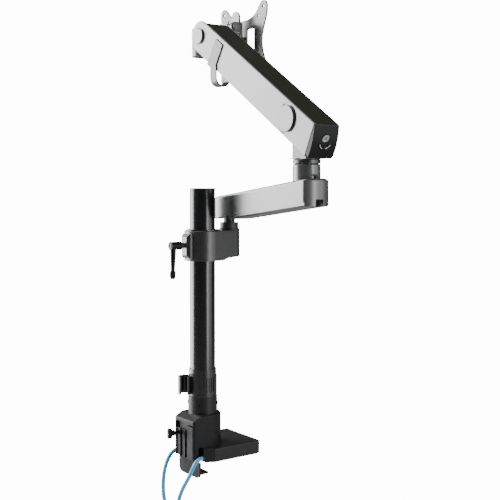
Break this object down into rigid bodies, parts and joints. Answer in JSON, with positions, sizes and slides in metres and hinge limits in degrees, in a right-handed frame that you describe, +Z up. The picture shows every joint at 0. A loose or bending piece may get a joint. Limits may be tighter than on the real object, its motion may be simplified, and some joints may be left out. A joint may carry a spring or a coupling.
{
  "type": "monitor arm",
  "caption": "Desk-clamped monitor arm: pole on a base with ports, height clamp, swinging lower link, sprung upper arm, tilting screen plate, hanging cords.",
  "frame": {"origin": "on the desk's top surface, under the pole's axis", "axes": "+Z up along the pole; +Y over the desk, towards the screen plate's face; +X along the lower link at rest"},
  "size_m": [0.3375, 0.2126, 0.8401],
  "materials": {
    "black_gloss": "gloss black",
    "black_satin": "satin black",
    "dark_grey_paint": "satin dark grey",
    "light_grey_paint": "satin light grey",
    "black_plastic": "fine grained",
    "grey_plastic": "fine grained",
    "gloss_plastic": "gloss",
    "rubber": "matte",
    "steel": "turned",
    "zinc_steel": "bright zinc",
    "bush_plastic": "natural",
    "cord_blue": "soft jacket",
    "brass": "plain"
  },
  "bodies": {
    "base": {"desk_pad": "rubber", "base_plate": "dark_grey_paint", "usb_bezel": "black_plastic", "usb_module": "steel", "cord_grommets": "rubber", "column_housing": "black_plastic", "rear_covers": "grey_plastic", "base_screws": "steel", "pole": "black_gloss", "pole_foot_plug": "black_plastic", "pole_trim": "black_plastic", "pole_collar": "dark_grey_paint", "collar_grub_screws": "steel", "left_cord": "cord_blue", "right_cord": "cord_blue", "left_cord_coil": "cord_blue", "right_cord_coil": "cord_blue", "usb_plugs": "cord_blue", "cord_ties": "rubber"},
    "clamp": {"clamp_bracket": "black_satin"},
    "wing": {"wing_screw": "zinc_steel"},
    "cable_clip": {"pole_clip": "black_plastic"},
    "liner": {"pole_liner": "black_plastic"},
    "bracket": {"arm_bracket": "black_satin", "bracket_friction_pads": "bush_plastic", "link_pivot_pin": "steel", "link_pin_screw": "steel"},
    "lever": {"lever_stud": "steel", "lever_handle": "gloss_plastic"},
    "link": {"lower_link": "dark_grey_paint", "link_cable_cover": "dark_grey_paint", "link_bushes": "bush_plastic", "link_tail_lid": "black_plastic", "elbow_grub_screw": "steel"},
    "elbow": {"elbow_knuckle": "black_satin", "elbow_pins": "steel", "elbow_spindle": "steel", "elbow_screw": "steel"},
    "arm": {"arm_shell": "light_grey_paint", "arm_top_cover": "gloss_plastic", "arm_end_cap": "gloss_plastic", "pivot_caps": "gloss_plastic", "arm_axle_bushes": "bush_plastic", "gas_spring_cylinder": "black_satin", "arm_cable_clip": "black_plastic"},
    "tension_screw": {"tension_screw": "zinc_steel"},
    "tension_nut": {"tension_nut": "brass"},
    "spring_rod": {"gas_spring_rod": "steel"},
    "tie": {"tie_rod": "zinc_steel"},
    "head": {"head_link": "black_satin", "head_pins": "steel"},
    "pan": {"pan_bracket": "light_grey_paint", "pan_pin": "light_grey_paint", "pan_washers": "bush_plastic"},
    "tilt": {"tilt_plate": "light_grey_paint", "tilt_bolt": "zinc_steel", "rotation_disc": "black_plastic", "rotation_bolt": "zinc_steel"},
    "screen": {"screen_plate": "light_grey_paint"}
  },
  "joints": [
    {"name": "clamp_height", "type": "slide", "parent": "base", "child": "clamp", "axis": [0, 0, 1], "range_m": [-0.012, 0.008]},
    {"name": "wing_screw_turn", "type": "hinge", "parent": "base", "child": "wing", "pos_m": [-0.014, -0.045, 0.034], "axis": [0, -1, 0], "continuous": true},
    {"name": "cable_clip_turn", "type": "hinge", "parent": "base", "child": "cable_clip", "pos_m": [0, 0, 0.105], "axis": [0, 0, 1], "continuous": true},
    {"name": "arm_height", "type": "slide", "parent": "base", "child": "liner", "axis": [0, 0, 1], "range_m": [-0.145, 0.05]},
    {"name": "pole_swivel", "type": "hinge", "parent": "liner", "child": "bracket", "pos_m": [0, 0, 0.292], "axis": [0, 0, 1], "range_deg": [-180, 180]},
    {"name": "height_lever", "type": "hinge", "parent": "bracket", "child": "lever", "pos_m": [0, -0.04, 0.293], "axis": [0, -1, 0], "range_deg": [-180, 180]},
    {"name": "link_swivel", "type": "hinge", "parent": "bracket", "child": "link", "pos_m": [0, 0.045, 0.33], "axis": [0, 0, 1], "range_deg": [-30, 210]},
    {"name": "elbow_swivel", "type": "hinge", "parent": "link", "child": "elbow", "pos_m": [0.171, 0.045, 0.402], "axis": [0, 0, 1], "range_deg": [-170, 170]},
    {"name": "arm_pitch", "type": "hinge", "parent": "elbow", "child": "arm", "pos_m": [0.1557, 0.045, 0.4588], "axis": [0, 1, 0], "range_deg": [-49, 2.4]},
    {"name": "tension_turn", "type": "hinge", "parent": "arm", "child": "tension_screw", "pos_m": [0.20584, 0.045, 0.43326], "axis": [-0.8425, 0, 0.5388], "range_deg": [-720, 720]},
    {"name": "tension_nut_travel", "type": "slide", "parent": "arm", "child": "tension_nut", "axis": [-0.8425, 0, 0.5388], "range_m": [-0.0026, 0.0026]},
    {"name": "spring_travel", "type": "slide", "parent": "arm", "child": "spring_rod", "axis": [-0.8425, 0, 0.5388], "range_m": [-0.001, 0.012]},
    {"name": "tie_rod_swing", "type": "hinge", "parent": "elbow", "child": "tie", "pos_m": [0.1557, 0.045, 0.4448], "axis": [0, 1, 0], "range_deg": [-50, 3]},
    {"name": "head_level", "type": "hinge", "parent": "arm", "child": "head", "pos_m": [-0.0443, 0.045, 0.5867], "axis": [0, 1, 0], "range_deg": [-3, 50]},
    {"name": "head_pan", "type": "hinge", "parent": "head", "child": "pan", "pos_m": [-0.068, 0.045, 0.58], "axis": [0, 0, 1], "range_deg": [0, 180]},
    {"name": "head_tilt", "type": "hinge", "parent": "pan", "child": "tilt", "pos_m": [-0.068, 0.093, 0.608], "axis": [1, 0, 0], "range_deg": [-15, 45]},
    {"name": "screen_turn", "type": "hinge", "parent": "tilt", "child": "screen", "pos_m": [-0.068, 0.118, 0.586], "axis": [0, 1, 0], "range_deg": [-90, 90]}
  ],
  "couplings": [
    {"joint": "tension_nut_travel", "follows": "tension_turn", "m_per_rad": 0.0002},
    {"joint": "spring_travel", "follows": "arm_pitch", "m_per_rad": -0.0137},
    {"joint": "tie_rod_swing", "follows": "arm_pitch", "ratio": 1},
    {"joint": "head_level", "follows": "arm_pitch", "ratio": -1}
  ]
}
